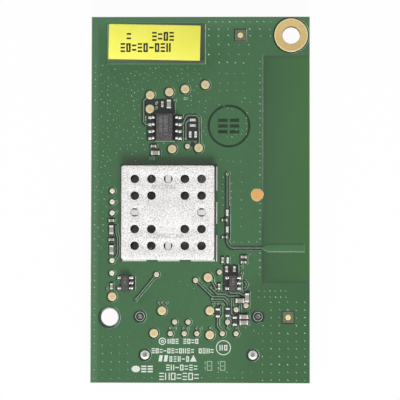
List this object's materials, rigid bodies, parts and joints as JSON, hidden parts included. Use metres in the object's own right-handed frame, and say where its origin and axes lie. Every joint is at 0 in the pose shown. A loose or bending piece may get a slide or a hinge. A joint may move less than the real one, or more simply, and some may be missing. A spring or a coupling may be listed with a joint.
{
  "type": "wireless circuit module",
  "caption": "Flat circuit module: green board with a punched metal radio shield, moulded chips, gold test pads, a printed antenna strip and a side-entry connector behind.",
  "frame": {"origin": "under the board's centre, on the plane that the rear connector's housing rests on", "axes": "+Z leaves the component face, +Y points to the end with the label, +X to the side with the bare antenna strip; the connector's mouth opens towards -Y"},
  "size_m": [0.04, 0.067, 0.0074],
  "materials": {
    "board_mask": "green solder mask over glass laminate",
    "gold_plating": "gold-plated copper",
    "masked_copper": "copper under green solder mask",
    "shield_tin": "tinned sheet, soft satin",
    "mould_compound": "fine matte epoxy",
    "lead_tin": "tin plated",
    "solder": "solder, semi-bright",
    "ceramic": "fired ceramic",
    "resistor_glaze": "dark glaze",
    "radio_part_glaze": "grey glaze",
    "label_paper": "printed paper",
    "inspection_lacquer": "orange lacquer",
    "can_metal": "nickel plated lid",
    "ferrite": "pressed powder",
    "connector_plastic": "moulded, fine matte",
    "contact_tin": "tin plated spring metal"
  },
  "bodies": {
    "root": {"circuit_board": "board_mask", "screw_hole_ring": "gold_plating", "large_test_pads": "gold_plating", "small_test_pads": "gold_plating", "alignment_marks": "gold_plating", "signal_traces": "masked_copper", "antenna_element": "masked_copper", "solder_pads": "solder", "shield_frame": "shield_tin", "shield_cover": "shield_tin", "memory_chip": "mould_compound", "memory_leads": "lead_tin", "left_regulator": "mould_compound", "left_regulator_leads": "lead_tin", "right_regulator": "mould_compound", "right_regulator_leads": "lead_tin", "capacitor_bodies": "ceramic", "resistor_bodies": "resistor_glaze", "radio_line_parts": "radio_part_glaze", "chip_end_caps": "solder", "radio_chip": "mould_compound", "front_end_chip": "mould_compound", "crystal_can": "can_metal", "power_inductors": "ferrite", "shielded_capacitors": "ceramic", "shielded_end_caps": "solder", "connector_housing": "connector_plastic", "connector_contacts": "contact_tin", "connector_anchors": "contact_tin", "anchor_solder": "solder", "part_label": "label_paper", "inspection_dot": "inspection_lacquer"}
  },
  "joints": []
}
